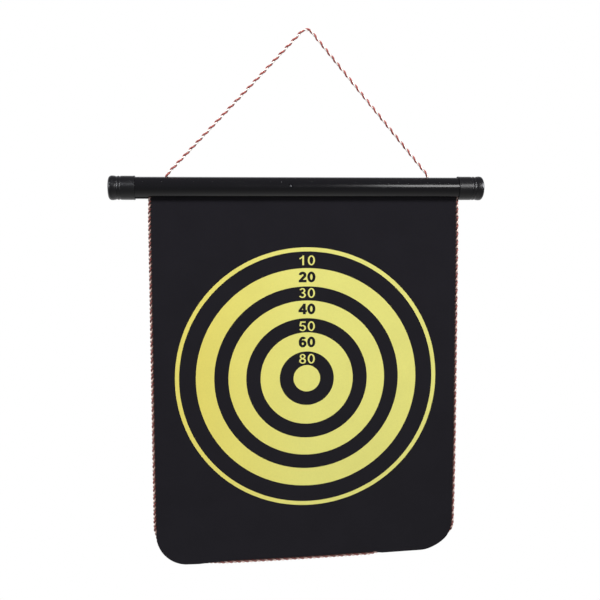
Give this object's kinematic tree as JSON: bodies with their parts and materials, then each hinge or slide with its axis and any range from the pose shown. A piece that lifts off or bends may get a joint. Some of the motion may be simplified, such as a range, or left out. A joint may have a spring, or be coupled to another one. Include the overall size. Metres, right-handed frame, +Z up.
{
  "type": "roll-up magnetic dartboard",
  "caption": "Roll-up magnetic dartboard: a slotted tube with end caps carries a flexible corded sheet with a ring target, hung by a twisted cord.",
  "frame": {"origin": "the underside of the hanging cord at its apex, where the nail or hook carries it", "axes": "+X to the right of someone facing the target, +Y away from them towards the wall, +Z up; the target faces -Y"},
  "size_m": [0.4232, 0.027, 0.6066],
  "materials": {
    "tube_plastic": "glossy black extruded plastic",
    "cap_plastic": "glossy black moulded plastic",
    "target_cloth": "matt printed cloth, black with yellow rings",
    "magnet_rubber": "matt dark flexible magnet with a fine pressed texture",
    "twisted_cord": "two-ply twisted cord, one red and one off-white ply",
    "screw_steel": "blackened steel",
    "rod_plastic": "plain grey plastic rod"
  },
  "bodies": {
    "hanger": {"hanging_cord": "twisted_cord"},
    "roller": {"roller_tube": "tube_plastic", "retaining_rod": "rod_plastic", "centre_set_screw": "screw_steel", "cord_knot_left": "twisted_cord", "cord_knot_right": "twisted_cord", "target_cloth_00": "target_cloth", "magnetic_sheet_00": "magnet_rubber", "edge_cord_left_00": "twisted_cord", "edge_cord_right_00": "twisted_cord"},
    "left_cap": {"left_end_cap": "cap_plastic"},
    "right_cap": {"right_end_cap": "cap_plastic"},
    "band_01": {"target_cloth_01": "target_cloth", "magnetic_sheet_01": "magnet_rubber", "edge_cord_left_01": "twisted_cord", "edge_cord_right_01": "twisted_cord"},
    "band_02": {"target_cloth_02": "target_cloth", "magnetic_sheet_02": "magnet_rubber", "edge_cord_left_02": "twisted_cord", "edge_cord_right_02": "twisted_cord"},
    "band_03": {"target_cloth_03": "target_cloth", "magnetic_sheet_03": "magnet_rubber", "edge_cord_left_03": "twisted_cord", "edge_cord_right_03": "twisted_cord"},
    "band_04": {"target_cloth_04": "target_cloth", "magnetic_sheet_04": "magnet_rubber", "edge_cord_left_04": "twisted_cord", "edge_cord_right_04": "twisted_cord"},
    "band_05": {"target_cloth_05": "target_cloth", "magnetic_sheet_05": "magnet_rubber", "edge_cord_left_05": "twisted_cord", "edge_cord_right_05": "twisted_cord"},
    "band_06": {"target_cloth_06": "target_cloth", "magnetic_sheet_06": "magnet_rubber", "edge_cord_left_06": "twisted_cord", "edge_cord_right_06": "twisted_cord"},
    "band_07": {"target_cloth_07": "target_cloth", "magnetic_sheet_07": "magnet_rubber", "edge_cord_left_07": "twisted_cord", "edge_cord_right_07": "twisted_cord"},
    "band_08": {"target_cloth_08": "target_cloth", "magnetic_sheet_08": "magnet_rubber", "edge_cord_left_08": "twisted_cord", "edge_cord_right_08": "twisted_cord"},
    "band_09": {"target_cloth_09": "target_cloth", "magnetic_sheet_09": "magnet_rubber", "edge_cord_left_09": "twisted_cord", "edge_cord_right_09": "twisted_cord"},
    "band_10": {"target_cloth_10": "target_cloth", "magnetic_sheet_10": "magnet_rubber", "edge_cord_left_10": "twisted_cord", "edge_cord_right_10": "twisted_cord"},
    "band_11": {"target_cloth_11": "target_cloth", "magnetic_sheet_11": "magnet_rubber", "edge_cord_left_11": "twisted_cord", "edge_cord_right_11": "twisted_cord"},
    "band_12": {"target_cloth_12": "target_cloth", "magnetic_sheet_12": "magnet_rubber", "edge_cord_bottom": "twisted_cord"}
  },
  "joints": [
    {"name": "cord_swing", "type": "hinge", "parent": "hanger", "child": "roller", "pos_m": [-0.0086, 0, -0.1585], "axis": [1, 0, 0], "range_deg": [-90, 90]},
    {"name": "left_cap_pull", "type": "slide", "parent": "roller", "child": "left_cap", "axis": [-1, 0, 0], "range_m": [0, 0.032]},
    {"name": "right_cap_pull", "type": "slide", "parent": "roller", "child": "right_cap", "axis": [1, 0, 0], "range_m": [0, 0.032]},
    {"name": "roll_01", "type": "hinge", "parent": "roller", "child": "band_01", "pos_m": [-0.0013, -0.004, -0.232], "axis": [1, 0, 0], "range_deg": [-4.2, 52.2], "stiffness_Nm_per_rad": 0.02},
    {"name": "roll_02", "type": "hinge", "parent": "band_01", "child": "band_02", "pos_m": [-0.0013, -0.004, -0.2682], "axis": [1, 0, 0], "range_deg": [-4.29, 53.38], "stiffness_Nm_per_rad": 0.02},
    {"name": "roll_03", "type": "hinge", "parent": "band_02", "child": "band_03", "pos_m": [-0.0013, -0.004, -0.3036], "axis": [1, 0, 0], "range_deg": [-4.38, 54.56], "stiffness_Nm_per_rad": 0.02},
    {"name": "roll_04", "type": "hinge", "parent": "band_03", "child": "band_04", "pos_m": [-0.0013, -0.004, -0.3382], "axis": [1, 0, 0], "range_deg": [-4.47, 55.74], "stiffness_Nm_per_rad": 0.02},
    {"name": "roll_05", "type": "hinge", "parent": "band_04", "child": "band_05", "pos_m": [-0.0013, -0.004, -0.372], "axis": [1, 0, 0], "range_deg": [-4.57, 56.92], "stiffness_Nm_per_rad": 0.02},
    {"name": "roll_06", "type": "hinge", "parent": "band_05", "child": "band_06", "pos_m": [-0.0013, -0.004, -0.4056], "axis": [1, 0, 0], "range_deg": [-4.66, 58.1], "stiffness_Nm_per_rad": 0.02},
    {"name": "roll_07", "type": "hinge", "parent": "band_06", "child": "band_07", "pos_m": [-0.0013, -0.004, -0.4376], "axis": [1, 0, 0], "range_deg": [-4.75, 59.29], "stiffness_Nm_per_rad": 0.02},
    {"name": "roll_08", "type": "hinge", "parent": "band_07", "child": "band_08", "pos_m": [-0.0013, -0.004, -0.4682], "axis": [1, 0, 0], "range_deg": [-4.84, 60.47], "stiffness_Nm_per_rad": 0.02},
    {"name": "roll_up", "type": "hinge", "parent": "band_08", "child": "band_09", "pos_m": [-0.0013, -0.004, -0.4974], "axis": [1, 0, 0], "range_deg": [-4.73, 61.45], "stiffness_Nm_per_rad": 0.02},
    {"name": "roll_10", "type": "hinge", "parent": "band_09", "child": "band_10", "pos_m": [-0.0013, -0.004, -0.5254], "axis": [1, 0, 0], "range_deg": [-5.02, 62.83], "stiffness_Nm_per_rad": 0.02},
    {"name": "roll_11", "type": "hinge", "parent": "band_10", "child": "band_11", "pos_m": [-0.0013, -0.004, -0.5524], "axis": [1, 0, 0], "range_deg": [-5.11, 64.02], "stiffness_Nm_per_rad": 0.02},
    {"name": "roll_12", "type": "hinge", "parent": "band_11", "child": "band_12", "pos_m": [-0.0013, -0.004, -0.5782], "axis": [1, 0, 0], "range_deg": [-5.2, 65.2], "stiffness_Nm_per_rad": 0.02}
  ],
  "couplings": [
    {"joint": "roll_01", "follows": "roll_up", "ratio": 0.8462},
    {"joint": "roll_02", "follows": "roll_up", "ratio": 0.8654},
    {"joint": "roll_03", "follows": "roll_up", "ratio": 0.8847},
    {"joint": "roll_04", "follows": "roll_up", "ratio": 0.9039},
    {"joint": "roll_05", "follows": "roll_up", "ratio": 0.9231},
    {"joint": "roll_06", "follows": "roll_up", "ratio": 0.9423},
    {"joint": "roll_07", "follows": "roll_up", "ratio": 0.9616},
    {"joint": "roll_08", "follows": "roll_up", "ratio": 0.9808},
    {"joint": "roll_10", "follows": "roll_up", "ratio": 1.0192},
    {"joint": "roll_11", "follows": "roll_up", "ratio": 1.0385},
    {"joint": "roll_12", "follows": "roll_up", "ratio": 1.0577}
  ]
}
